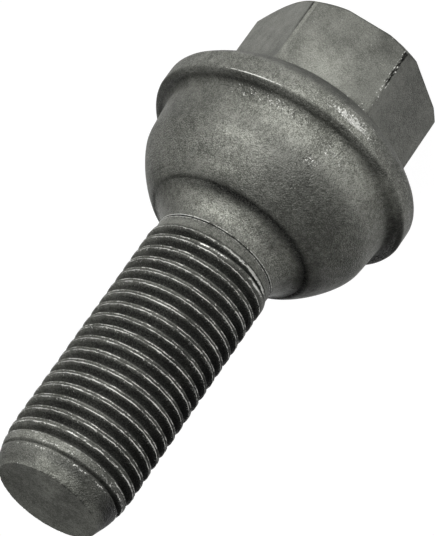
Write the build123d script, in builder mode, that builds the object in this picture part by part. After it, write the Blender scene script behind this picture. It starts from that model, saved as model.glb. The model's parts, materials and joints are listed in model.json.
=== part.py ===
from build123d import *
import os
from math import cos, pi, radians, sqrt, tan

# Wheel bolt, cold-headed and thread-rolled from one piece of steel: a hexagon,
# a domed collar, a ball seat that centres the wheel, a filleted neck and a
# right-hand thread. It stands on its head: z = 0 is the end face of the hexagon,
# and +Z runs along the axis to the tip. All sizes are in millimetres, and all
# angles in degrees.

# Driving dimensions: hexagon
hex_across_flats = 18.6
hex_height = 8.38
hex_corner_radius = 0.4
hex_chamfer_width = 1.2
hex_chamfer_angle = 40.0
hex_root_radius = 0.2

# Driving dimensions: collar
collar_dome_rise = 4.37
collar_dome_radius = 14.0
collar_dome_inset = 1.0
collar_thickness = 2.45
collar_overhang = 1.56
collar_top_edge_radius = 0.7
collar_hollow_radius = 0.7
collar_lip_land = 0.04

# Driving dimensions: ball seat with the tapered band above it, shoulder and neck
seat_radius = 14.0
seat_centre_depth = 1.12
seat_band_length = 4.5
seat_band_angle = 4.9
seat_blend_radius = 6.0
shoulder_edge_radius = 1.0
shoulder_set_in = 0.59
neck_radius = 3.0
neck_plain_length = 0.7

# Driving dimensions: shank and thread, nominal M14 x 1.5
shank_length = 34.24
shank_relief = 0.26
shank_swell_length = 1.0
thread_diameter = 14.0
thread_allowance = 0.2
thread_pitch = 1.5
thread_angle = 60.0
thread_start_gap = 0.38
thread_start_angle = -78.0

# Driving dimensions: tip
lead_in_radius = 11.5
lead_in_depth = 0.86
tip_chamfer_depth = 0.59
tip_chamfer_length = 0.75

# Hexagon and collar
hex_sides = 6
hex_apothem = hex_across_flats / 2
hex_corner_reach = hex_apothem / cos(pi / hex_sides)
hex_chamfer_drop = hex_chamfer_width * tan(radians(hex_chamfer_angle))
collar_height = hex_height + collar_dome_rise
lip_height = collar_height + collar_thickness

# Ball seat: a tapered band under the collar's lip, then a sphere
seat_centre_height = lip_height - seat_centre_depth
seat_top_height = lip_height + seat_band_length
seat_top_radius = sqrt(seat_radius**2 - (seat_top_height - seat_centre_height) ** 2)
band_radius = seat_top_radius + seat_band_length * tan(radians(seat_band_angle))
collar_radius = band_radius + collar_overhang
lip_edge_radius = collar_overhang - collar_hollow_radius - collar_lip_land

# Neck: an arc from the shoulder to the plain shank, which is slimmer than the
# crests that the rolling raised
crest_radius = (thread_diameter - thread_allowance) / 2
plain_radius = crest_radius - shank_relief
shoulder_radius = plain_radius + neck_radius - shoulder_set_in
shoulder_height = seat_centre_height + sqrt(seat_radius**2 - shoulder_radius**2)
neck_end_height = shoulder_height + sqrt(neck_radius**2 - shoulder_set_in**2)
swell_height = neck_end_height + neck_plain_length
crest_height = swell_height + shank_swell_length
overall_length = shoulder_height + shank_length

# Tip: a short chamfer, then an arc that runs tangent into the shank
tip_chamfer_radius = crest_radius - lead_in_depth
tip_face_radius = tip_chamfer_radius - tip_chamfer_depth
tip_chamfer_height = overall_length - tip_chamfer_length
lead_in_length = sqrt(lead_in_radius**2 - (lead_in_radius - lead_in_depth) ** 2)
lead_in_height = tip_chamfer_height - lead_in_length

# Thread form: the standard triangle, cut off by an eighth at the nominal diameter
# and by a sixth at the root
crest_truncation = 1 / 8
root_truncation = 1 / 6
triangle_height = thread_pitch / (2 * tan(radians(thread_angle / 2)))
thread_depth = (1 - crest_truncation - root_truncation) * triangle_height
root_radius = thread_diameter / 2 - thread_depth
root_width = root_truncation * thread_pitch
mouth_width = (1 - crest_truncation) * thread_pitch

# Thread groove: it starts above the swell, winds past the tip, and below its first
# turn it runs out of the shank along a tangent
thread_start_height = crest_height + thread_start_gap
turns_past_tip = 2
thread_turns = int((overall_length - thread_start_height) / thread_pitch) + turns_past_tip
run_out_length = sqrt((thread_diameter / 2) ** 2 - root_radius**2)

# Cutter for one turn of the groove, and for the run-out below it
with BuildLine() as groove_path:
    Helix(thread_pitch, thread_pitch, root_radius)
groove_plane = Plane(groove_path.line @ 0, x_dir=(1, 0, 0), z_dir=groove_path.line % 0)
with BuildSketch(groove_plane) as groove_section:
    with BuildLine():
        Polyline(
            (0, -root_width / 2),
            (thread_depth, -mouth_width / 2),
            (thread_depth, mouth_width / 2),
            (0, root_width / 2),
            close=True,
        )
    make_face()
with BuildPart() as groove_turn:
    sweep(groove_section.sketch, path=groove_path.line, is_frenet=True)
with BuildPart() as groove_run_out:
    extrude(groove_section.sketch, amount=-run_out_length)

with BuildPart() as wheel_bolt:
    # Collar, ball seat, neck and blank shank, turned about the axis
    with BuildSketch(Plane.XZ) as turned_profile:
        with BuildLine():
            dome = RadiusArc(
                (hex_apothem - collar_dome_inset, hex_height),
                (collar_radius, collar_height),
                -collar_dome_radius,
            )
            rim = Line(dome @ 1, (collar_radius, lip_height))
            lip = Line(rim @ 1, (band_radius, lip_height))
            band = Line(lip @ 1, (seat_top_radius, seat_top_height))
            seat = RadiusArc(band @ 1, (shoulder_radius, shoulder_height), -seat_radius)
            neck = RadiusArc(seat @ 1, (plain_radius, neck_end_height), neck_radius)
            shank = Polyline(
                neck @ 1,
                (plain_radius, swell_height),
                (crest_radius, crest_height),
                (crest_radius, lead_in_height),
            )
            lead_in = RadiusArc(
                shank @ 1, (tip_chamfer_radius, tip_chamfer_height), -lead_in_radius
            )
            Polyline(
                lead_in @ 1,
                (tip_face_radius, overall_length),
                (0, overall_length),
                (0, hex_height),
                dome @ 0,
            )
        make_face()
        rounded_corners = (
            (dome @ 1, collar_top_edge_radius),
            (rim @ 1, lip_edge_radius),
            (lip @ 1, collar_hollow_radius),
            (band @ 1, seat_blend_radius),
            (seat @ 1, shoulder_edge_radius),
        )
        for corner, corner_radius in rounded_corners:
            fillet(turned_profile.vertices().sort_by_distance(corner)[0], corner_radius)
    revolve(axis=Axis.Z)

    # Hexagon, blended into the dome of the collar where the two meet
    with BuildSketch(Plane.XY):
        hexagon = RegularPolygon(hex_apothem, hex_sides, major_radius=False)
        fillet(hexagon.vertices(), hex_corner_radius)
    extrude(amount=collar_height)
    fillet(wheel_bolt.edges(Select.NEW), hex_root_radius)

    # Corners of the hexagon turned off to a cone at the end face
    with BuildSketch(Plane.XZ):
        with BuildLine():
            Polyline(
                (hex_corner_reach - hex_chamfer_width, 0),
                (hex_corner_reach, 0),
                (hex_corner_reach, hex_chamfer_drop),
                close=True,
            )
        make_face()
    revolve(axis=Axis.Z, mode=Mode.SUBTRACT)

    # Thread, cut one turn at a time, then its run-out
    for turn in range(thread_turns):
        turn_height = thread_start_height + turn * thread_pitch
        with Locations(Location((0, 0, turn_height), (0, 0, thread_start_angle))):
            add(groove_turn.part, mode=Mode.SUBTRACT)
    with Locations(Location((0, 0, thread_start_height), (0, 0, thread_start_angle))):
        add(groove_run_out.part, mode=Mode.SUBTRACT)

wheel_bolt.part.label = "wheel_bolt"
os.makedirs("parts", exist_ok=True)
export_step(wheel_bolt.part, "parts/wheel_bolt.step")
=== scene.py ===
# %% [markdown]
# # A ball-seat wheel bolt
#
# This lesson dresses one steel wheel bolt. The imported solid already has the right
# size and place. Here it gets what a solid model leaves out: rolled thread crests
# with two lips, a worn and chipped hexagon, an uneven forged skin, and a phosphate
# coating that is rubbed bright where metal touches metal.
#
# The bolt stands on its head. The z axis runs up the bolt from the end face of the
# hexagon to the tip of the thread, and all lengths below are in millimetres until
# the mesh is made.

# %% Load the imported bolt
import json
from math import cos, hypot, pi, radians, sin, sqrt, tan

import bmesh
import bpy
import numpy as np
from mathutils import Matrix, Vector, noise


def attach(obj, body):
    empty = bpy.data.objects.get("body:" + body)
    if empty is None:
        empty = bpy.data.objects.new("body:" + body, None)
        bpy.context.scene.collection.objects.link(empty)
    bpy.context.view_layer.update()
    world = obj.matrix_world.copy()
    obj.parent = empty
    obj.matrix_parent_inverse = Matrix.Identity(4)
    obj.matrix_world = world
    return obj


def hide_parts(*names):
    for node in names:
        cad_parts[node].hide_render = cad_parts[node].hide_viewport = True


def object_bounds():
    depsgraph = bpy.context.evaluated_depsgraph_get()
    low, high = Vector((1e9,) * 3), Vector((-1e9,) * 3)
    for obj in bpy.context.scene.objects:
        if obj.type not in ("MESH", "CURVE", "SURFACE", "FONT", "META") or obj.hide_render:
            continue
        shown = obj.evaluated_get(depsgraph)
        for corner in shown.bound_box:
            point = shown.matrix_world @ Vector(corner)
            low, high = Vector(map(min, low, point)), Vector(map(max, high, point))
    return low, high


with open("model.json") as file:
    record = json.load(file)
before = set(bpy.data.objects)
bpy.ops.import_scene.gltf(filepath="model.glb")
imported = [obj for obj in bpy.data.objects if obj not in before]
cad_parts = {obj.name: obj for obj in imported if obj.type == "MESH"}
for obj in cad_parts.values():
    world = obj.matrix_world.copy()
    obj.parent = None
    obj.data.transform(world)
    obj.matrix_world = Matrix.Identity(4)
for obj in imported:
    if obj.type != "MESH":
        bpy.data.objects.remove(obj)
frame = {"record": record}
cad_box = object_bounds()
MM = 0.001
print("solid:", [round(side / MM, 2) for side in cad_box[1] - cad_box[0]], "mm")

# %% [markdown]
# ## Sizes
#
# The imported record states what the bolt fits: its thread, its ball seat and its
# hexagon. Reading those numbers keeps the mesh on the solid. The sizes that the
# record leaves out are the same driving sizes that the solid was made from.

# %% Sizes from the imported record
mounts = {mount["name"]: mount for mount in frame["record"]["mounts"]}
overall_length = cad_box[1].z / MM
collar_radius = cad_box[1].x / MM
crest_radius = mounts["thread"]["dims"]["r_mm"]
seat_radius = mounts["ball_seat"]["dims"]["r_mm"]
seat_centre_height = mounts["ball_seat"]["pos_m"][2] / MM
hex_height = mounts["wrench_hexagon"]["dims"]["length_mm"]
print("length", round(overall_length, 2), "collar radius", round(collar_radius, 2))

# %% Sizes of the head, as in the solid
hex_sides = 6
hex_apothem = 9.3
hex_corner_radius = 0.4
hex_chamfer_width = 1.2
hex_chamfer_angle = radians(40)
hex_root_radius = 0.2
dome_radius = 14.0
dome_inset = 1.0
dome_rise = 4.37
collar_thickness = 2.45
collar_edge_radius = 0.7
collar_overhang = 1.56
collar_height = hex_height + dome_rise
lip_height = collar_height + collar_thickness
lip_edge_radius = 0.82
hollow_radius = 0.7
band_radius = collar_radius - collar_overhang
band_angle = radians(4.9)

# %% Sizes of the neck, thread and tip, as in the solid
shank_relief = 0.26
neck_radius = 3.0
shoulder_set_in = 0.59
neck_plain_length = 0.7
swell_length = 1.0
pitch = 1.5
thread_start_gap = 0.38
thread_start_angle = radians(-78)
flank_angle = radians(30)
lead_in_radius = 11.5
lead_in_depth = 0.86
tip_chamfer_depth = 0.59
tip_chamfer_length = 0.75

# %% Slopes, radii and heights that follow from them
hex_chamfer_slope = tan(hex_chamfer_angle)
band_slope = tan(band_angle)
flank_slope = tan(flank_angle)
plain_radius = crest_radius - shank_relief
neck_centre_radius = plain_radius + neck_radius
shoulder_radius = neck_centre_radius - shoulder_set_in
shoulder_height = seat_centre_height + sqrt(seat_radius**2 - shoulder_radius**2)
neck_end_height = shoulder_height + sqrt(neck_radius**2 - shoulder_set_in**2)
swell_height = neck_end_height + neck_plain_length
thread_start_height = swell_height + swell_length + thread_start_gap
tip_chamfer_radius = crest_radius - lead_in_depth
tip_face_radius = tip_chamfer_radius - tip_chamfer_depth
tip_chamfer_height = overall_length - tip_chamfer_length
lead_in_length = sqrt(lead_in_radius**2 - (lead_in_radius - lead_in_depth) ** 2)
lead_in_height = tip_chamfer_height - lead_in_length
print("shoulder at", round(shoulder_height, 2), "thread from", round(thread_start_height, 2))

# %% [markdown]
# ## Columns and rings
#
# A bolt could be cut from primitives with booleans, but a helix and rounded edges
# come out ragged that way. Here the whole skin is one net of points: columns that
# stand round the axis, and rings that climb from the end face to the tip. Every
# column knows its angle, so a ring can follow the hexagon, a circle or a helix.
#
# The columns crowd together at the six corners, where the hexagon turns sharply.

# %% Angles of the columns
corner_half_span = radians(1.8)
side_half_span = pi / hex_sides
corner_column_count = 11
side_column_count = 14
corner_angles = np.linspace(-corner_half_span, corner_half_span, corner_column_count)
side_angles = np.linspace(corner_half_span, side_half_span, side_column_count)[1:]
one_sector = np.concatenate([-side_angles[-2::-1], corner_angles, side_angles])
from_corner = np.tile(one_sector, hex_sides)
corner_number = np.repeat(np.arange(hex_sides), len(one_sector))
angles = corner_number * 2 * side_half_span + from_corner
print("columns:", len(angles))

# %% Rings, and the marks that the finish reads later
rings = []


def add_ring(radius, height, rub=0.0, hollow=0.0):
    """Adds one ring: a radius, a height, a mark of rubbed steel and a mark of painted shade and
    dirt, for every column.
    """
    values = (radius, height, rub, hollow)
    rings.append([np.broadcast_to(value, angles.shape) for value in values])


def place(radius, height):
    """A profile point for every column."""
    return np.array([np.broadcast_to(value, angles.shape) for value in (radius, height)])


# %% Rounded corner of a profile
def rounded_corner(before, corner, after, radius, count):
    """Points of a filleted corner, from the side before it to the side after it."""
    tiny = 1e-6
    longest_share = 0.45
    sides = [before - corner, after - corner]
    lengths = [np.hypot(*side) + tiny for side in sides]
    first, second = [side / length for side, length in zip(sides, lengths)]
    cosine = np.clip((first * second).sum(axis=0), -1, 1)
    half_sine = np.sqrt((1 - cosine) / 2)
    half_cosine = np.sqrt((1 + cosine) / 2) + tiny
    reach = radius * half_cosine / (half_sine + tiny)
    reach = np.minimum(reach, longest_share * np.minimum(*lengths))
    for share in np.linspace(0, 1, count):
        start = (1 - share) ** 2
        middle = 2 * share * (1 - share) * half_sine
        end = share**2
        moved = start * first * reach + end * second * reach
        yield corner + moved / (start + middle + end)


# %% Marks round the axis
azimuths = angles + pi / 2


def around(azimuth, half_width):
    """A soft mark, 1 at an azimuth and 0 at half a width from it, both in degrees."""
    apart = np.angle(np.exp(1j * (azimuths - radians(azimuth))))
    return np.clip(1 - (apart / radians(half_width)) ** 2, 0, 1)


# %% [markdown]
# ## Hexagon
#
# The hexagon is forged, so its corners are rounded, and its end is turned to a cone
# that cuts the corners most. The cone is a little off centre. Wrenches have worn
# one corner to a flat bevel and chipped the next.
#
# Each ring is worked out for all columns at once: where a flat lies inside the cone,
# the chamfer shrinks to nothing by itself.

# %% Radius of the fresh hexagon at each column
corner_reach = hex_apothem / cos(side_half_span)
corner_centre = (hex_apothem - hex_corner_radius) / cos(side_half_span)
corner_end = np.arctan2(
    hex_corner_radius * sin(side_half_span),
    corner_centre + hex_corner_radius * cos(side_half_span),
)
across = np.minimum(np.abs(from_corner), corner_end)
rounded = corner_centre * np.cos(across) + np.sqrt(
    hex_corner_radius**2 - (corner_centre * np.sin(across)) ** 2
)
flat = hex_apothem / np.cos(side_half_span - np.abs(from_corner))
fresh_radius = np.where(np.abs(from_corner) < corner_end, rounded, flat)
print("hexagon radius:", round(fresh_radius.min(), 2), "to", round(fresh_radius.max(), 2))

# %% Chips of one corner
chipped_corner = 4
chip_count = 60
lowest_chip = 0.8
chip_zone = 4.6
chip_crowding = 1.4
chip_draws = np.random.default_rng(11)
chip_angles = radians(1) * chip_draws.uniform(-1.0, 0.8, chip_count)
chip_heights = lowest_chip + chip_zone * chip_draws.random(chip_count) ** chip_crowding
chip_spans = radians(1) * chip_draws.uniform(0.25, 0.65, chip_count)
chip_lengths = chip_draws.uniform(0.1, 0.28, chip_count)
chip_depths = chip_draws.uniform(0.08, 0.22, chip_count)


def chip_depth(height):
    """Depth of the chips along the chipped corner, for every column at a height."""
    deepest = np.zeros(angles.shape)
    chips = zip(chip_angles, chip_heights, chip_spans, chip_lengths, chip_depths)
    for angle, middle, span, length, depth in chips:
        away = ((from_corner - angle) / span) ** 2 + ((height - middle) / length) ** 2
        deepest = np.maximum(deepest, depth * np.clip(1 - away, 0, 1))
    return np.where(corner_number == chipped_corner, deepest, 0)


# %% Bevel of another corner
bevelled_corner = 5
bevel_depth_at_end = 0.2
bevel_depth_at_foot = 0.1


def worn_radius(height):
    """Radius of the hexagon at a height, with the wear of its corners."""
    share = np.clip(height / hex_height, 0, 1)
    bevel = bevel_depth_at_end + share * (bevel_depth_at_foot - bevel_depth_at_end)
    cut = np.where(corner_number == bevelled_corner, bevel, 0)
    bevelled = np.minimum(fresh_radius, (corner_reach - cut) / np.cos(from_corner))
    return bevelled - chip_depth(height)


# %% Dome of the collar
dome_start = np.array([hex_apothem - dome_inset, hex_height])
dome_end = np.array([collar_radius, collar_height])
dome_chord = dome_end - dome_start
chord_to_centre = sqrt(dome_radius**2 - (hypot(*dome_chord) / 2) ** 2)
dome_normal = np.array([-dome_chord[1], dome_chord[0]]) / hypot(*dome_chord)
dome_centre = (dome_start + dome_end) / 2 + chord_to_centre * dome_normal


def dome_height(radius):
    """Height of the dome at a distance from the axis."""
    return dome_centre[1] - np.sqrt(dome_radius**2 - (radius - dome_centre[0]) ** 2)


# %% Profile of the hexagon's end
chamfer_wear = 0.03
chamfer_off_centre = 0.4
chamfer_lean = pi
least_chamfer = 0.03
chamfer_circle = corner_reach - hex_chamfer_width + chamfer_wear
chamfer_circle = chamfer_circle + chamfer_off_centre * np.cos(angles - chamfer_lean)
end_radius = worn_radius(0)
chamfer_inner = np.minimum(chamfer_circle, end_radius - least_chamfer)
chamfer_top = (end_radius - chamfer_inner) * hex_chamfer_slope
face_centre = place(0, 0)
face_edge = place(chamfer_inner, 0)
chamfer_edge = place(worn_radius(chamfer_top), chamfer_top)
foot_radius = worn_radius(hex_height)
hex_foot = place(foot_radius, dome_height(foot_radius))
print("chamfer height:", round(chamfer_top.min(), 2), "to", round(chamfer_top.max(), 2))

# %% Rings of the end face and the chamfer
chamfer_edge_radius = 0.06
edge_rings = 4
face_shares = (0.0, 0.35, 0.7, 0.9)
for share in face_shares:
    add_ring(share * chamfer_inner, 0)
for point in rounded_corner(
    face_centre, face_edge, chamfer_edge, chamfer_edge_radius, edge_rings
):
    add_ring(*point, rub=0.5)
for point in rounded_corner(face_edge, chamfer_edge, hex_foot, chamfer_edge_radius, edge_rings):
    add_ring(*point, rub=0.2, hollow=0.5)

# %% Rubbed corners, and dirt along the bevel
on_bevel = corner_number == bevelled_corner
on_chipped = corner_number == chipped_corner
bevel_edge = 0.95 * corner_half_span
dirt_half_width = radians(0.5)
dirt_core = 1.5
clean_side_dirt = 0.25
corner_rub = 0.5
beside_bevel_edge = np.abs(np.abs(from_corner) - bevel_edge)
dirt_line = np.clip(dirt_core - beside_bevel_edge / dirt_half_width, 0, 1)
dirt_line = np.where(on_bevel, np.where(from_corner > 0, 1.0, clean_side_dirt) * dirt_line, 0)
plain_corner = corner_rub * np.clip(1 - np.abs(from_corner) / corner_half_span, 0, 1)
plain_corner = np.where(on_bevel | on_chipped, 0, plain_corner)
chip_edge = on_chipped & (np.abs(from_corner) < corner_half_span)

# %% Rings of the flats and of their foot
flat_rings = 40
full_chip = 0.09
speck_share = 0.4
end_dirt = 1.6
dirt_fading = 2.6
foot_reach = 1.0
foot_rings = 5
for share in np.linspace(0.02, 0.96, flat_rings):
    height = chamfer_top + share * (hex_foot[1] - chamfer_top)
    chipped = np.clip(chip_depth(height) / full_chip, 0, 1)
    speckled = chip_draws.random(angles.shape) < speck_share * (1 - share)
    specks = chip_edge & (chipped == 0) & speckled
    darkness = dirt_line * np.clip(end_dirt - dirt_fading * share, 0, 1)
    darkness = darkness * chip_draws.uniform(0.5, 1)
    # The chips are painted dark in proportion to their depth, as painted shade in them; the line
    # along the bevel is dirt.
    add_ring(worn_radius(height), height, rub=plain_corner + specks, hollow=darkness + chipped)
dome_out = place(foot_radius + foot_reach, dome_height(foot_radius + foot_reach))
# At the foot of the flats the rings carry a painted highlight line and painted shade in the concave
# corner.
for point in rounded_corner(chamfer_edge, hex_foot, dome_out, hex_root_radius, foot_rings):
    add_ring(*point, rub=0.35, hollow=0.3)
print("rings of the hexagon:", len(rings))

# %% [markdown]
# ## Collar
#
# The collar is a dome with a rounded rim. Its lip stands out over a hollow, and the
# forging die left the lip a little wavy. On one side something has rubbed the rim,
# so it carries a patch of scratched, brighter metal. A fine bright line along part of
# the lip is a painted highlight. Painted shade darkens the underside of the lip, the
# hollow, and the dome next to the hexagon.

# %% Waves and marks of the collar
lip_wave_height = 0.15
lip_wave_count = 3
lip_wave_start = radians(30)
rim_off_centre = 0.05
lip_wave = lip_wave_height * np.cos(lip_wave_count * (azimuths - lip_wave_start))
rim_radius = collar_radius - rim_off_centre * (1 - np.cos(angles))
rim_patch = around(-21, 13)
# How strong the painted shade under the lip and in the hollow is round the collar: weaker at the
# right and at the left.
ledge_dark = 1 - 0.75 * around(-58, 16) - 0.45 * around(50, 18)
# A painted highlight along the lip's edge, strongest at the front left and fainter at the front
# right.
lip_highlight = 1.7 * around(22, 15) + 0.55 * around(-24, 16)
print("lip at", round(lip_height, 2), "waving by", lip_wave_height)

# %% Rings of the dome
dome_rings = 11
dome_clearance = 0.3
# The dome is painted a little darker all over, and darker towards the hexagon: there it is painted
# shade in the corner at the foot, with some grime.
dome_darkening = 0.15
foot_shade_and_grime = 0.45
dome_first = foot_radius + dome_clearance
dome_last = rim_radius - dome_clearance
for share in np.linspace(0.04, 1, dome_rings):
    radius = dome_first + share * (dome_last - dome_first)
    add_ring(radius, dome_height(radius), hollow=dome_darkening + foot_shade_and_grime * (1 - share))

# %% Rings of the rim and the lip
rim_edge_rings = 6
lip_rings = 13
shiny_ring = 2
rim_edge_rub = 0.08
rim_edge_patch = 0.4
rim_rub = 0.05
scratch_at_share = {0.2: 0.55, 0.33: 0.86, 0.43: 0.9, 0.55: 0.35}
# Painted shade on the underside of the lip, starting just below its edge.
under_lip_dark = 0.7
under_lip_start = 0.75
under_lip_width = 0.4
dome_end_point = place(dome_last, dome_height(dome_last))
rim_top = place(rim_radius, collar_height)
rim_bottom = place(rim_radius, lip_height + lip_wave)
lip_inner = place(band_radius, lip_height + lip_wave)
for point in rounded_corner(
    dome_end_point, rim_top, rim_bottom, collar_edge_radius, rim_edge_rings
):
    add_ring(*point, rub=rim_edge_rub + rim_edge_patch * rim_patch)
for share, scratched in scratch_at_share.items():
    point = rim_top + share * (rim_bottom - rim_top)
    add_ring(*point, rub=rim_rub + scratched * rim_patch)
lip_points = rounded_corner(rim_top, rim_bottom, lip_inner, lip_edge_radius, lip_rings)
# One ring of the lip carries the painted highlight, and the rings below its edge carry painted
# shade.
for number, point in enumerate(lip_points):
    low = (point[1] - lip_height - lip_wave) / lip_edge_radius
    shine = lip_highlight * (number == shiny_ring)
    shade = np.clip((low + under_lip_start) / under_lip_width, 0, 1)
    add_ring(*point, rub=shine, hollow=under_lip_dark * ledge_dark * shade)
print("rings of the head:", len(rings))

# %% [markdown]
# ## Ball seat, shoulder and neck
#
# The ball seat is a true sphere, because it has to centre the wheel. A tapered band
# joins it to the hollow under the lip. At the other end the ball turns over a soft
# edge into a narrow crease, and the neck sweeps from there to the plain shank with a
# generous fillet that carries the load. Where the rolling dies stopped, they left a
# fine scored line round the shank, with a burr on its edges. Painted shade darkens the
# ball towards the crease, the crease itself, the start of the neck and the scored line.

# %% Shape of the band and the ball
seat_blend = 0.09


def ball_radius(height):
    """Radius of the band and the sphere, with a soft change from one to the other."""
    band = band_radius - (height - lip_height) * band_slope
    sphere = np.sqrt(seat_radius**2 - (height - seat_centre_height) ** 2)
    return (band + sphere - np.sqrt((band - sphere) ** 2 + 4 * seat_blend**2)) / 2


def sphere_height(radius):
    """Height of the sphere at a distance from the axis."""
    return seat_centre_height + sqrt(seat_radius**2 - radius**2)


# %% Rings of the hollow under the lip
hollow_reach = 1.5
hollow_rings = 8
# Painted shade in the hollow under the lip, lighter ring by ring towards the ball.
hollow_dark = 0.75
hollow_fading = 0.09
hollow_end_height = lip_height + hollow_reach
hollow_end = place(ball_radius(hollow_end_height), hollow_end_height)
hollow_points = rounded_corner(rim_bottom, lip_inner, hollow_end, hollow_radius, hollow_rings)
for number, point in enumerate(hollow_points):
    add_ring(*point, hollow=ledge_dark * (hollow_dark - hollow_fading * number))

# %% Rings of the band and the ball
ball_rings = 34
ball_above_lip = 1.0
ball_below_shoulder = 0.9
# Painted shade on the ball grows over its last rings towards the crease. All of the crease's
# painted shade is weaker on the left.
shade_below_end = 0.3
ball_start_height = lip_height + lip_wave + ball_above_lip
ball_end_height = shoulder_height - ball_below_shoulder
shade_start_height = ball_end_height - shade_below_end
shade_length = shoulder_height - shade_start_height
crease_shade = 1 - 0.6 * around(67, 48)
for height in np.linspace(ball_start_height, ball_end_height, ball_rings):
    near_crease = np.clip((height - shade_start_height) / shade_length, 0, 1)
    add_ring(ball_radius(height), height, hollow=crease_shade * near_crease)

# %% Profile of the shoulder, the crease and the neck
crease_depth = 0.17
crease_outwards = 0.13
crease_inwards = 0.24
crease_lengthening = 2.5
crease_outer_radius = shoulder_radius + crease_outwards
crease_inner_radius = shoulder_radius - crease_inwards
crease_outer = place(crease_outer_radius, sphere_height(crease_outer_radius))
crease_bottom = place(crease_inner_radius, shoulder_height - crease_depth)
past_crease = crease_outer + crease_lengthening * (crease_bottom - crease_outer)
before_shoulder = place(ball_radius(ball_end_height), ball_end_height)
neck_start_height = 1.02
neck_start = np.arcsin(neck_start_height / neck_radius)


def on_neck(turn):
    """A point of the neck's fillet, at an angle from the crease to the shank."""
    return place(
        neck_centre_radius - neck_radius * sin(turn),
        neck_end_height - neck_radius * cos(turn),
    )


# %% Rings of the shoulder and the neck
shoulder_edge_radius = 1.0
shoulder_rings = 8
# Painted shade over the shoulder's edge, darkest in the crease.
shoulder_dark = 0.35
shoulder_darkening = 0.12
shoulder_points = rounded_corner(
    before_shoulder, crease_outer, past_crease, shoulder_edge_radius, shoulder_rings
)
for number, point in enumerate(shoulder_points):
    add_ring(*point, hollow=crease_shade * min(shoulder_dark + shoulder_darkening * number, 1))
neck_rings = 18
# Painted shade at the start of the neck, fading towards the shank, and reaching further at the
# front.
neck_dark = 0.8
neck_fading = 0.2
front_rings = 5
neck_front = 0.22 * around(10, 34)
for number, turn in enumerate(np.linspace(neck_start, pi / 2, neck_rings)):
    shade = np.clip(neck_dark - neck_fading * number + neck_front * (number < front_rings), 0, 1)
    add_ring(*on_neck(turn), hollow=crease_shade * shade)

# %% Rings of the scored line
score_depth = 0.07
score_half_width = 0.04
score_above_neck = 0.04
score_height = neck_end_height + score_above_neck
score_edge = 2.6 * score_half_width
score_columns = 3
score_parts = len(angles) // score_columns
score_draws = np.random.default_rng(3)
# The scored line is painted dark, as shade in it, stronger in some places than in others.
score_shade = np.repeat(score_draws.uniform(0.35, 1.0, score_parts), score_columns)
score_shine = np.repeat(score_draws.uniform(0.3, 1.3, score_parts), score_columns)
score_shine = score_shine + 0.9 * around(52, 45)

# Each row of the profile: how far it stands out, how far it lies above the line,
# its share of the shine and its share of the painted shade.
score_profile = (
    (0.035, -1.9 * score_edge, 0.35, 0),
    (0.04, -1.4 * score_edge, 0.8, 0),
    (0.04, -score_edge, 1, 0),
    (-score_depth, -score_half_width, 0, 1),
    (-score_depth, score_half_width, 0, 1),
    (0.02, score_edge, 0.8, 0),
)
for stand_out, above, shine, darkness in score_profile:
    height = score_height + above
    add_ring(plain_radius + stand_out, height, rub=shine * score_shine, hollow=darkness * score_shade)

# %% Rings of the plain shank
thread_above_swell = 0.45
thread_low = swell_height + thread_above_swell
plain_rings = 7


def blank_radius(height):
    """Radius of the shank before the thread is rolled: plain, a swell, and a rounded tip."""
    swell = np.clip((height - swell_height) / swell_length, 0, 1)
    past = np.clip(height - lead_in_height, 0, lead_in_radius)
    round_off = lead_in_radius - np.sqrt(lead_in_radius**2 - past**2)
    return plain_radius + shank_relief * swell * swell * (3 - 2 * swell) - round_off


for height in np.linspace(score_height + 2 * score_edge, thread_low, plain_rings):
    add_ring(blank_radius(height), height)
print("rings below the thread:", len(rings))

# %% [markdown]
# ## Thread
#
# A thread is rolled, not cut: two dies press the groove in, and the metal climbs up
# both flanks. So each crest ends in two lips with a shallow seam between them, and
# the two lips catch the light as a pair of fine lines.
#
# A spiral could be swept along a curve, but then it would only lie on the shank. In
# this net every ring climbs one pitch per turn, so the rings run along the crests
# and the groove is part of the skin. At both ends the rings are pressed flat against
# a level line, and the points that fall together there are merged afterwards.

# %% Width of the groove, from its run-out to the tip
groove_half_width = 0.53
groove_depth = 0.82
run_out_start = -0.26
run_out_turns = 0.34
thread_below_chamfer = 0.5
thread_high = tip_chamfer_height - thread_below_chamfer
fade_length = 0.3
narrow_height = 55.8
narrowing = 0.45


def groove_opening(turns, height):
    """Half the width of the groove where it breaks through the shank's surface."""
    grown = np.clip((turns - run_out_start) / run_out_turns, 0, 1)
    grown = grown * np.clip((thread_high - height) / fade_length, 0, 1)
    narrow = 1 - narrowing * np.clip(height - narrow_height, 0, 1)
    missing = crest_radius - blank_radius(height)
    return np.maximum(groove_half_width * grown - missing * flank_slope, 0) * narrow


# %% Unevenness along the lips
lip_draws = np.random.default_rng(5)
coarse_columns = 4
coarse_weight = 0.7


def soft_draws(low, high):
    """Random values for every column, close to those of the columns beside it."""
    raw = lip_draws.random(angles.shape)
    fine = (np.roll(raw, 1) + 2 * raw + np.roll(raw, -1)) / 4
    coarse = np.repeat(lip_draws.random(len(angles) // coarse_columns), coarse_columns)
    return low + (high - low) * np.clip(fine + coarse_weight * (coarse - 0.5), 0, 1)


# %% Form and wear of a crest
full_crest_reach = 0.4
thread_onset = 5
seam_depth = 0.09
seam_start = 0.3
seam_width = 0.5
lip_round = 0.03
lip_rag = 0.03
lip_jag = 0.035
least_bead = -0.45
most_bead = 1.9
bead_limit = 1.4
blunt_evenness = 0.6
# The grooves, the seam between the lips and the groove's edges are painted dark: partly dirt and
# partly painted shade, which is weaker at the far left.
groove_dark = 0.92
flank_dark = 1.7
seam_dark = 0.6
edge_dark = 0.45
blunt_dark = 0.45
tip_dulling = 0.66
groove_shade_by_side = 1 - 0.5 * around(95, 60)
crest_wear = 1 + 0.4 * around(-54, 22)


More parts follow.
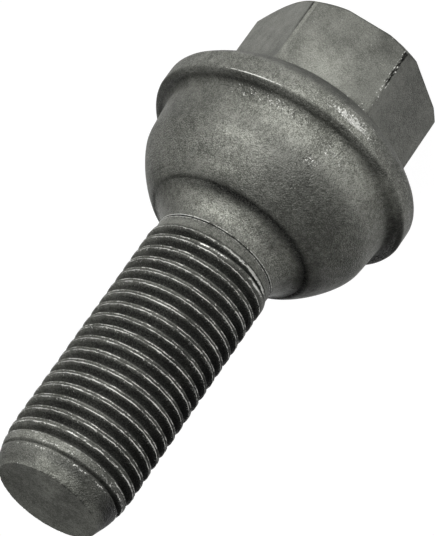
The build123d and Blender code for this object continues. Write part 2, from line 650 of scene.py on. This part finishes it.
# %% One ring of the thread
def thread_ring(turns, side, inside, beyond, jagged, rub, blunt_rub=0):
    """A ring at a share of the groove's half width, or at a share of the land beyond it."""
    centre = thread_start_height + pitch * turns
    opening = groove_opening(turns, centre)
    land = pitch / 2 - opening
    on_lip = 0 < beyond < 1
    on_edge = inside == 1 and beyond == 0
    in_thread = np.clip(thread_onset * opening / groove_half_width, 0, 1)
    moved = in_thread * jagged if on_lip or on_edge else 0
    height = centre + side * (opening * inside + land * beyond) + moved
    height = np.clip(height, thread_low, thread_high)
    depth = np.minimum(opening * (1 - inside) / flank_slope, groove_depth)
    full = np.clip(1 - (crest_radius - blank_radius(centre)) / full_crest_reach, 0, 1)
    seam = full * seam_depth * np.clip((beyond - seam_start) / seam_width, 0, 1)
    ragged = soft_draws(0, lip_rag) if on_lip else 0
    beads = np.clip(soft_draws(least_bead, most_bead), 0, bead_limit) if on_lip else 1
    radius = blank_radius(height) - depth - in_thread * (seam + lip_round * on_edge + ragged)
    blunt_rub = blunt_rub * np.where(centre > lead_in_height, tip_dulling, 1)
    blunt_beads = blunt_evenness + (1 - blunt_evenness) * beads
    rub = full * rub * crest_wear * beads + (1 - full) * blunt_rub * blunt_beads
    # Painted shade and dirt, darkest deep in the groove and in the seam.
    dark = groove_dark * min(flank_dark * (1 - inside) ** 0.5, 1)
    dark = np.maximum(np.maximum(dark, seam_dark * seam / seam_depth), edge_dark * on_edge)
    dark = dark * (blunt_dark + (1 - blunt_dark) * full) * groove_shade_by_side
    add_ring(radius, height, rub=in_thread * rub, hollow=in_thread * dark)


# %% Rings of the thread, turn by turn
spare_turns = 2
last_turn = int((tip_chamfer_height - thread_start_height) / pitch)
turn_numbers = range(-spare_turns, last_turn + spare_turns + 1)
low_side = -1
high_side = 1
flank_shares = (1.0, 0.6, 0.15)
land_shares = (0.1, 0.28, 0.6)
tip_side_rub = (1.0, 1.6, 0.7)
head_side_rub = (0.2, 0.85, 0.1)
blunt_crest_rub = (0.32, 0.56, 0.36)
first_turn_rub = (0.05, 0.78, 0.25)
tip_edge_rub = 0.4
head_edge_rub = 0.2
first_thread_ring = len(rings)
for number in turn_numbers:
    turns = number + (angles - thread_start_angle) / (2 * pi)
    tip_side_jag = soft_draws(-lip_jag, lip_jag)
    head_side_jag = soft_draws(-lip_jag, lip_jag)
    thread_ring(turns, low_side, inside=1.0, beyond=1.0, jagged=0, rub=0)
    tip_side = list(zip(land_shares, tip_side_rub, blunt_crest_rub))
    for beyond, rub, blunt_rub in reversed(tip_side):
        thread_ring(turns, low_side, 1.0, beyond, tip_side_jag, rub, blunt_rub)
    for inside in flank_shares:
        thread_ring(turns, low_side, inside, 0.0, tip_side_jag, tip_edge_rub * (inside == 1))
    thread_ring(turns, high_side, inside=0.0, beyond=0.0, jagged=0, rub=0)
    for inside in reversed(flank_shares):
        thread_ring(turns, high_side, inside, 0.0, head_side_jag, head_edge_rub * (inside == 1))
    for beyond, rub, blunt_rub in zip(land_shares, head_side_rub, first_turn_rub):
        thread_ring(turns, high_side, 1.0, beyond, head_side_jag, rub, blunt_rub)
last_thread_ring = len(rings) - 1
rings_per_turn = (last_thread_ring - first_thread_ring + 1) // len(turn_numbers)
print("rings of the thread:", last_thread_ring - first_thread_ring + 1, "per turn:", rings_per_turn)

# %% [markdown]
# ## Tip
#
# The tip is rounded, so that the thread starts easily, and it ends in a short chamfer
# and a flat face. The bar was sheared, so the face sits a little off centre, and on one
# side its edge carries painted shade of small nicks.

# %% Profile of the tip
face_off_centre = 0.33
face_lean = radians(140)
least_lean = -0.25
face_rag = 0.04
before_tip_length = 1
before_tip_height = tip_chamfer_height - before_tip_length
leaning = np.maximum(np.cos(angles - face_lean), least_lean)
face_radius = tip_face_radius + face_off_centre * leaning
face_radius = face_radius + face_rag * (lip_draws.random(angles.shape) - 0.5)
before_tip = place(blank_radius(before_tip_height), before_tip_height)
tip_corner = place(tip_chamfer_radius, tip_chamfer_height)
tip_edge = place(face_radius, overall_length)
tip_centre = place(0, overall_length)

# %% Rings of the tip
tip_corner_radius = 3.0
tip_corner_rings = 7
tip_edge_radius = 0.05
# The nicks are only painted: dark marks along one side of the edge, painted shade of small nicks.
nick_share = 0.55
nick_dark = 0.9
chamfer_nick_shade_at_share = {0.3: 0.0, 0.12: 0.6}
tip_edge_shine = 0.4 * around(60, 60)
tip_face_shares = (0.985, 0.95, 0.8, 0.6, 0.35, 0.0)
for point in rounded_corner(before_tip, tip_corner, tip_edge, tip_corner_radius, tip_corner_rings):
    add_ring(*point)
nicked = lip_draws.random(angles.shape) < nick_share
edge_nicks = np.where(nicked, nick_dark, 0) * around(-25, 50)
for share, darkness in chamfer_nick_shade_at_share.items():
    add_ring(*(tip_edge + share * (tip_corner - tip_edge)), hollow=darkness * edge_nicks)
for point in rounded_corner(tip_corner, tip_edge, tip_centre, tip_edge_radius, edge_rings):
    add_ring(*point, rub=tip_edge_shine, hollow=edge_nicks)
for share in tip_face_shares:
    add_ring(share * face_radius, overall_length)
print("rings in all:", len(rings))

# %% [markdown]
# ## Skin
#
# The net becomes faces by joining each point to its neighbours. Between the last
# column and the first, the thread's rings join one turn higher, which is what makes
# it a helix. Points that fall together, at the two poles and at the ends of the
# thread, are merged, so the skin is closed.
#
# A forged skin is never quite true, so every point first sinks by a few hundredths
# of a millimetre, in soft waves.

# %% Points, sunk by soft waves
radii, heights, rubs, dirt_and_shade_marks = np.array(rings).transpose(1, 0, 2)
points = np.stack([radii * np.cos(angles), radii * np.sin(angles), heights], axis=2)
long_wave = 4.0
long_wave_depth = 0.025
short_wave = 1.1
short_wave_depth = 0.015
true_core = 1.0


def waves(size):
    """Soft noise at every point, from 0 to 1, with waves of about so many millimetres."""
    values = [noise.noise(point) for point in points.reshape(-1, 3) / size]
    return np.array(values).reshape(radii.shape) / 2 + 0.5


sunk = long_wave_depth * waves(long_wave) + short_wave_depth * waves(short_wave)
inwards = 1 - np.divide(sunk, radii, out=np.zeros_like(radii), where=radii > true_core)
points[:, :, :2] *= inwards[:, :, None]
print("sunk by up to", round(sunk.max(), 3), "mm")

# %% [markdown]
# ## Patches of the coating
#
# A coating that has been handled is paler where it was rubbed and darker where oil and
# dirt stayed. One noise texture could vary it, but not in the right places. So broad,
# soft patches are laid, each round an azimuth and a height. Some of them are such paler
# and darker coating, and others are painted light and shade that five lamps don't give:
# painted highlights, and painted shade on the sides that the lamps leave dark. Azimuth 0
# is the front, and left and right are meant as the camera sees them.

# %% A soft patch
def patch(azimuth, half_width, middle, half_height, strength):
    """A soft patch on the skin, round an azimuth in degrees and a height in millimetres."""
    upright = np.clip(1 - ((heights - middle) / half_height) ** 2, 0, 1)
    return strength * around(azimuth, half_width) * upright


# %% Patches of the ball and the neck
# Painted light and shade on the ball: the front and its bright spot are painted highlight, and the
# dark side and the edge at the far right are painted shade.
ball_patches = {
    "under the lip": (-30, 65, 16.0, 3.4, 0.82),
    "under the rubbed rim": (-28, 12, 16.8, 1.6, 0.14),
    "under the lip, front": (2, 34, 16.8, 2.4, 0.22),
    "dark side": (-26, 32, 21.8, 3.2, -0.34),
    "front": (14, 20, 21.4, 2.8, 0.42),
    "bright spot": (18, 14, 20.45, 0.7, 0.38),
    "edge, front": (18, 22, 23.7, 0.8, 0.36),
    "left": (64, 32, 17.5, 3.4, -0.1),
    "far right": (-78, 28, 21.0, 5.0, 0.35),
    "edge, far right": (-85, 32, 24.2, 1.3, -0.2),
    "left, near the neck": (62, 22, 20.0, 2.6, -0.15),
}
# On the neck the front and its bright spot are a painted highlight, and the crease on the right is
# painted shade.
neck_patches = {
    "all of the front": (-10, 80, 26.2, 1.9, 0.56),
    "front": (-7, 16, 26.6, 0.9, 0.14),
    "far right": (-72, 32, 25.8, 1.6, 0.8),
    "right, in the crease": (-37, 16, 25.5, 0.9, -0.5),
    "left": (58, 30, 26.9, 1.2, -0.35),
    "bright spot": (13, 20, 26.5, 0.9, 0.55),
    "right": (-38, 14, 26.6, 0.9, -0.15),
    "by the scored line": (12, 45, 27.5, 0.8, -0.35),
}

# %% Patches of the head, the thread and the tip
# The right flat and the right of the rim are painted shade.
head_patches = {
    "rim, front": (-8, 18, 13.7, 1.6, 0.32),
    "rim, right": (-44, 15, 13.7, 1.6, -0.42),
    "rim, left": (12, 12, 13.7, 1.6, -0.14),
    "dome": (6, 50, 11.0, 1.6, -0.38),
    "right flat": (-60, 32, 4.0, 5.0, -0.2),
    "front flat, foot": (6, 26, 7.0, 3.2, 0.55),
    "front flat, end": (-22, 15, 0.6, 2.6, -0.3),
}
# The thread's far left is painted lighter as lit, and its right and far right are painted shade.
thread_patches = {
    "far left": (100, 50, 43.0, 17.0, 0.4),
    "far right": (-105, 60, 43.0, 17.0, -0.85),
    "right": (-28, 22, 43.0, 16.0, -0.5),
    "last crest": (18, 55, 56.1, 1.5, 0.55),
}
# The end face is painted lighter as lit, the chamfer's front and bright spot are a painted
# highlight, and the lead-in's far right is painted shade.
tip_patches = {
    "face, right": (-130, 110, 59.0, 0.3, 0.45),
    "face, left": (60, 110, 59.0, 0.3, 0.2),
    "lead-in, far right": (-88, 55, 57.3, 1.7, -0.9),
    "lead-in, left": (52, 45, 57.5, 1.3, -0.4),
    "lead-in, front": (-13, 30, 57.2, 1.3, -0.6),
    "chamfer, right": (-38, 14, 58.6, 0.5, -0.2),
    "chamfer, front": (-4, 26, 58.5, 0.8, 0.75),
    "chamfer, bright spot": (15, 11, 58.3, 0.8, 0.35),
    "chamfer, far right": (-68, 30, 58.6, 0.45, 0.5),
    "chamfer, left": (52, 25, 58.6, 0.5, -0.15),
}

# %% Tone of the coating, with painted light and shade, at every point
bevel_tone = 0.4
bevel_face_share = 0.7
darkest_coat = 0.05
pale = np.zeros(radii.shape)
for patches in (ball_patches, neck_patches, head_patches, thread_patches, tip_patches):
    for place_and_strength in patches.values():
        pale = pale + patch(*place_and_strength)
bevel_face = on_bevel & (np.abs(from_corner) < bevel_face_share * corner_half_span)
pale = pale + np.where(bevel_face & (heights < hex_height), bevel_tone, 0)
pale = np.maximum(pale, darkest_coat - 1)
lightness = 1 + pale
print("coating from", round(lightness.min(), 2), "to", round(lightness.max(), 2), "of its tone")

# %% Pits of the ball, and the rough forged skin
machined_smoothness = 0.4
smooth_past_flats = 1.0
pits_under_lip = patch(13, 27, 16.0, 1.0, 0.74)
pits_under_rubbed_rim = patch(-26, 14, 16.8, 1.2, 0.85)
pits_higher_up = patch(-19, 6, 19.1, 0.9, 0.9)
rough_right_flat = patch(-60, 30, 4.0, 5.0, 0.7)
pitted = pits_under_lip + pits_under_rubbed_rim + pits_higher_up
forged = np.clip(heights - hex_height - smooth_past_flats, 0, 1)
forged = forged * (1 - machined_smoothness * np.clip(heights - swell_height, 0, 1))
forged = forged + rough_right_flat

# %% Faces
ring_count, column_count = radii.shape


def next_column(ring, column):
    """The neighbour of a point in the next column, one turn higher across the thread's seam."""
    if column + 1 < column_count:
        return ring * column_count + column + 1
    if first_thread_ring <= ring <= last_thread_ring:
        ring = min(ring + rings_per_turn, last_thread_ring)
    return ring * column_count


faces = []
for ring in range(ring_count - 1):
    for column in range(column_count):
        here = ring * column_count + column
        above = here + column_count
        faces.append((here, next_column(ring, column), next_column(ring + 1, column), above))
print("faces before merging:", len(faces))

# %% Mesh with its marks
skin = bpy.data.meshes.new("wheel_bolt_skin")
skin.from_pydata((points.reshape(-1, 3) * MM).tolist(), [], faces)
marks = {"rub": rubs, "hollow": dirt_and_shade_marks, "pale": pale, "pitted": pitted, "forged": forged}
for name, values in marks.items():
    mark = skin.attributes.new(name, "FLOAT", "POINT")
    mark.data.foreach_set("value", values.ravel().astype(np.float32))

# %% Merged points, and a closed skin
merge_distance = 0.0005 * MM
sliver_length = 0.0002 * MM
work = bmesh.new()
work.from_mesh(skin)
bmesh.ops.remove_doubles(work, verts=work.verts, dist=merge_distance)
bmesh.ops.dissolve_degenerate(work, edges=work.edges, dist=sliver_length)
bmesh.ops.recalc_face_normals(work, faces=work.faces)
open_edges = sum(1 for edge in work.edges if not edge.is_manifold)
triangles = sum(len(face.verts) - 2 for face in work.faces)
volume = work.calc_volume() / MM**3
print("triangles:", triangles, "open edges:", open_edges, "volume mm3:", round(volume, 1))
work.to_mesh(skin)
work.free()

# %% The bolt
skin.polygons.foreach_set("use_smooth", [True] * len(skin.polygons))
bolt = bpy.data.objects.new("wheel_bolt_body", skin)
bpy.context.scene.collection.objects.link(bolt)
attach(bolt, "root")
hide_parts("wheel_bolt")

# %% [markdown]
# ## Shader maths
#
# A finish is a small calculation for every point of the surface. Written as node
# after node it is hard to read, so a small class wraps a socket, and Python's own
# operators add the Math nodes.

# %% A socket that can be calculated with
class Signal:
    """One output of a node tree. Arithmetic on it adds Math nodes to the tree."""

    def __init__(self, tree, socket=None):
        self.tree = tree
        self.socket = socket

    def node(self, kind, settings, inputs, output=0):
        """Adds a node, sets it up, feeds its sockets and returns one of its outputs."""
        made = self.tree.nodes.new(kind)
        for name, value in settings.items():
            setattr(made, name, value)
        for name, value in inputs.items():
            if isinstance(value, Signal):
                self.tree.links.new(value.socket, made.inputs[name])
            else:
                made.inputs[name].default_value = value
        return Signal(self.tree, made.outputs[output] if len(made.outputs) else None)

    def math(self, operation, first, second):
        """Adds one Math node."""
        return self.node("ShaderNodeMath", {"operation": operation}, {0: first, 1: second})

    def __add__(self, other):
        return self.math("ADD", self, other)

    __radd__ = __add__

    def __sub__(self, other):
        return self.math("SUBTRACT", self, other)

    def __rsub__(self, other):
        return self.math("SUBTRACT", other, self)

    def __mul__(self, other):
        return self.math("MULTIPLY", self, other)

    __rmul__ = __mul__

    def between(self, low, high):
        """0 below low, 1 above high, and a smooth step between them."""
        return self.node(
            "ShaderNodeMapRange",
            {"interpolation_type": "SMOOTHSTEP"},
            {"Value": self, "From Min": low, "From Max": high},
        )

    def mix(self, first, second):
        """A colour between two colours, with this signal as the share of the second."""
        return self.node("ShaderNodeMix", {"data_type": "RGBA"}, {0: self, 6: first, 7: second}, 2)

    def scale(self, vector, factor):
        """A vector or colour, made longer or lighter by a factor."""
        settings = {"operation": "SCALE"}
        return self.node("ShaderNodeVectorMath", settings, {0: vector, "Scale": factor})

    def feed(self, node, name):
        """Links this signal to a socket of a node."""
        self.tree.links.new(self.socket, node.inputs[name])


# %% [markdown]
# ## Phosphate coating
#
# The bolt is coated with a dark grey phosphate, a layer of fine crystals with a dull
# satin gloss. It is never even: it clouds over several millimetres, mottles over one,
# and has a grain that is only just visible. On the lips of the thread and on the
# edges the steel shows through, lighter and smoother.
#
# A photographed texture would bring its own light with it, so the coating is worked
# out from noise. The marks on the mesh say where it is rubbed, where painted shade and
# dirt darken it, where patches of painted light, painted shade and its own tone make it
# paler or darker, and where it is pitted or rough.

# %% Coordinates and clouds in millimetres
finish = bpy.data.materials.new("phosphated_steel")
finish.use_nodes = True
tree = finish.node_tree
shader = tree.nodes["Principled BSDF"]
start = Signal(tree)
place_in_mm = start.scale(start.node("ShaderNodeTexCoord", {}, {}, "Object"), 1 / MM)


def cloud(size, detail, roughness=0.5, distortion=0.0):
    """Soft noise whose patches are about so many millimetres across, around one half."""
    settings = {"Scale": 1 / size, "Detail": detail, "Roughness": roughness}
    inputs = {"Vector": place_in_mm, "Distortion": distortion, **settings}
    return start.node("ShaderNodeTexNoise", {}, inputs)


def marked(name):
    """One of the marks that the mesh carries at its points."""
    return start.node("ShaderNodeAttribute", {"attribute_name": name}, {}, "Fac")


# %% Tone of the coat
dark_coat = (0.078, 0.0805, 0.068, 1)
light_coat = (0.264, 0.268, 0.238, 1)
rough_skin = marked("forged")
blotch = cloud(size=5.0, detail=3.0)
mottle = cloud(size=1.1, detail=3.0, roughness=0.55)
grain = 0.5 * cloud(size=0.14, detail=1.0) + 0.5 * cloud(size=0.075, detail=0.0)
lumps = cloud(size=0.45, detail=2.0)
blotch_weight = 0.24 + 0.1 * rough_skin
mottle_weight = 0.18
grain_weight = 0.42 + 0.36 * rough_skin
lump_weight = 0.28 * rough_skin
tone = 0.5 - 0.012 * rough_skin
tone = tone + blotch_weight * (blotch - 0.5) + mottle_weight * (mottle - 0.5)
tone = tone + grain_weight * (grain - 0.5) + lump_weight * (lumps - 0.5)
# The coat's tone is scaled by the patches: painted light and shade, and the coating's own paler and
# darker places.
coat = start.scale(tone.between(0.35, 0.65).mix(dark_coat, light_coat), 1 + marked("pale"))

# %% Bare steel, pits, and painted shade and dirt
bare_steel = (0.72, 0.72, 0.68, 1)
# Near-black colour of the painted shade and dirt.
shade_dirt_colour = (0.004, 0.0041, 0.0034, 1)
scuff_weight = 2.5
scuff_offset = 1.6
speck_weight = 1.1
# The pits are painted darker, as shade in them.
pit_dark = 0.3
faintest_darkness = 0.78
scuff = cloud(size=0.2, detail=2.0, roughness=0.6)
pits = marked("pitted") * cloud(size=0.42, detail=1.0, distortion=1.5).between(0.56, 0.64)
specks = marked("pitted") * cloud(size=0.26, detail=2.0, roughness=0.6).between(0.55, 0.63)
bare = marked("rub") + speck_weight * specks + scuff_weight * scuff - scuff_offset
bare = bare.between(0.1, 0.6)
shade = (marked("hollow") + pit_dark * pits) * (1 - bare)
# The painted shade and dirt mix in that colour in patches, except where the steel is bare.
darkness_spots = cloud(size=0.16, detail=1.0).between(0.42, 0.58)
darkness = shade * (faintest_darkness + (1 - faintest_darkness) * darkness_spots)
colour = darkness.mix(bare.mix(coat, bare_steel), shade_dirt_colour)
colour.feed(shader, "Base Color")

# %% Gloss, and the grain that the light picks out
coat_roughness = 0.62
bare_smoothness = 0.2
mottle_smoothness = 0.1
dirt_roughness = 0.4
roughness = coat_roughness - bare_smoothness * bare - mottle_smoothness * mottle
roughness = roughness + dirt_roughness * shade
roughness.feed(shader, "Roughness")
coat_metal = 0.3
bare_metal = 0.25
metal = coat_metal + bare_metal * bare
metal.feed(shader, "Metallic")
relief_height = 0.06 * MM
grit_relief = 0.6 + 1.5 * rough_skin
lump_relief = 0.35 + 1.0 * rough_skin
pit_relief = 4.0
grit = cloud(size=0.155, detail=0.5)
relief = grit_relief * grit + lump_relief * lumps - pit_relief * pits
bump_settings = {"Strength": 1.0, "Distance": relief_height, "Height": relief}
bump = start.node("ShaderNodeBump", {}, bump_settings, "Normal")
bump.feed(shader, "Normal")
skin.materials.append(finish)
print("finish nodes:", len(tree.nodes))

# %% [markdown]
# ## Floor
#
# The bolt stands on a plain pale floor. A lit floor would come out grey, and a glowing
# one would take no shadow. So the floor is a mixture: it mostly glows white for the
# camera and for reflections, and it is matt for all other light. The matt part takes
# the bolt's soft shadow.

# %% Floor
floor_half = 3.0
floor_glow = 1.12
glow_share = 0.88
floor_grey = (0.8, 0.8, 0.8, 1)
floor_mesh = bpy.data.meshes.new("floor")
floor_corners = [(-floor_half, -floor_half, 0), (floor_half, -floor_half, 0)]
floor_corners += [(floor_half, floor_half, 0), (-floor_half, floor_half, 0)]
floor_mesh.from_pydata(floor_corners, [], [(0, 1, 2, 3)])
floor = bpy.data.objects.new("floor", floor_mesh)
bpy.context.scene.collection.objects.link(floor)

# %% Paint of the floor
white = (1, 1, 1, 1)
paint = bpy.data.materials.new("pale_floor")
paint.use_nodes = True
paint.node_tree.nodes.clear()
ray = Signal(paint.node_tree)
seen = ray.node("ShaderNodeLightPath", {}, {}, "Is Camera Ray")
seen = seen + ray.node("ShaderNodeLightPath", {}, {}, "Is Glossy Ray")
seen = seen + ray.node("ShaderNodeLightPath", {}, {}, "Is Transmission Ray")
glow = ray.node("ShaderNodeEmission", {}, {"Color": white, "Strength": floor_glow}, "Emission")
matt = ray.node("ShaderNodeBsdfDiffuse", {}, {"Color": floor_grey}, "BSDF")
both = ray.node("ShaderNodeMixShader", {}, {0: glow_share * seen, 1: matt, 2: glow}, "Shader")
ray.node("ShaderNodeOutputMaterial", {}, {"Surface": both})
floor_mesh.materials.append(paint)
print("floor:", 2 * floor_half, "m wide")

# %% [markdown]
# ## Light
#
# The light is that of a small studio. The key light is a low softbox in front, because
# the surfaces that look up towards the tip are the dark ones. A second one fills the
# side, a weak one lights the tip from above, and two behind the bolt draw a thin bright
# edge along the head. The air itself is nearly dark, but white where the camera sees it.

# %% Air
dim_air = (0.03, 0.03, 0.032, 1)
world = bpy.data.worlds.new("studio")
world.use_nodes = True
air = Signal(world.node_tree)
in_view = air.node("ShaderNodeLightPath", {}, {}, "Is Camera Ray")
in_view.mix(dim_air, white).feed(world.node_tree.nodes["Background"], "Color")
bpy.context.scene.world = world

# %% Softboxes
aim = Vector((0, 0, 0.03))


def softbox(name, azimuth, elevation, power, distance=0.4, width=0.16, tall=0.16):
    """An area lamp that looks at the bolt from a direction, given in degrees and metres."""
    turn = radians(azimuth)
    lift = radians(elevation)
    away = Vector((sin(turn) * cos(lift), -cos(turn) * cos(lift), sin(lift)))
    lamp = bpy.data.lights.new(name, "AREA")
    lamp.shape = "RECTANGLE"
    lamp.size = width
    lamp.size_y = tall
    lamp.energy = power
    stand = bpy.data.objects.new(name, lamp)
    stand.location = aim + away * distance
    stand.rotation_euler = away.to_track_quat("Z", "Y").to_euler()
    stand.visible_camera = False
    bpy.context.scene.collection.objects.link(stand)


softbox("key_softbox", azimuth=8, elevation=2, power=1.15)
softbox("side_softbox", azimuth=33, elevation=2, power=0.48)
softbox("top_softbox", azimuth=68, elevation=65, power=0.42)
softbox("back_softbox", azimuth=200, elevation=35, power=0.22, distance=0.6, width=0.4, tall=0.4)
softbox("rear_softbox", azimuth=172, elevation=0, power=0.7, width=0.1, tall=0.05)
print("lamps:", len(bpy.data.lights))

# %% [markdown]
# ## Camera
#
# The camera looks down at the tip with a long lens, from about a third of a metre, and
# is rolled so that the bolt lies across the picture with its head at the top right.

# %% Camera
image_height = 536
focal_pixels = 3222.69
camera_azimuth = radians(-7.75)
camera_elevation = radians(26.748)
camera_roll = radians(145.04)
camera_distance = 322.677 * MM
camera_aim = Vector((-0.756, 0.103, 28.137)) * MM
lens = bpy.data.cameras.new("camera")
lens.sensor_width = 36
lens.lens = lens.sensor_width * focal_pixels / image_height
camera = bpy.data.objects.new("camera", lens)
back = Vector(
    (
        sin(camera_azimuth) * cos(camera_elevation),
        -cos(camera_azimuth) * cos(camera_elevation),
        sin(camera_elevation),
    )
)
level_right = (-back).cross(Vector((0, 0, 1))).normalized()
level_up = level_right.cross(-back)
up = cos(camera_roll) * level_up + sin(camera_roll) * level_right
right = up.cross(back)
turned = Matrix((right, up, back)).transposed().to_4x4()
camera.matrix_world = Matrix.Translation(camera_aim + back * camera_distance) @ turned
bpy.context.scene.collection.objects.link(camera)
bpy.context.scene.camera = camera
bpy.context.scene.view_settings.view_transform = "Standard"
print("lens:", round(lens.lens, 1), "mm")
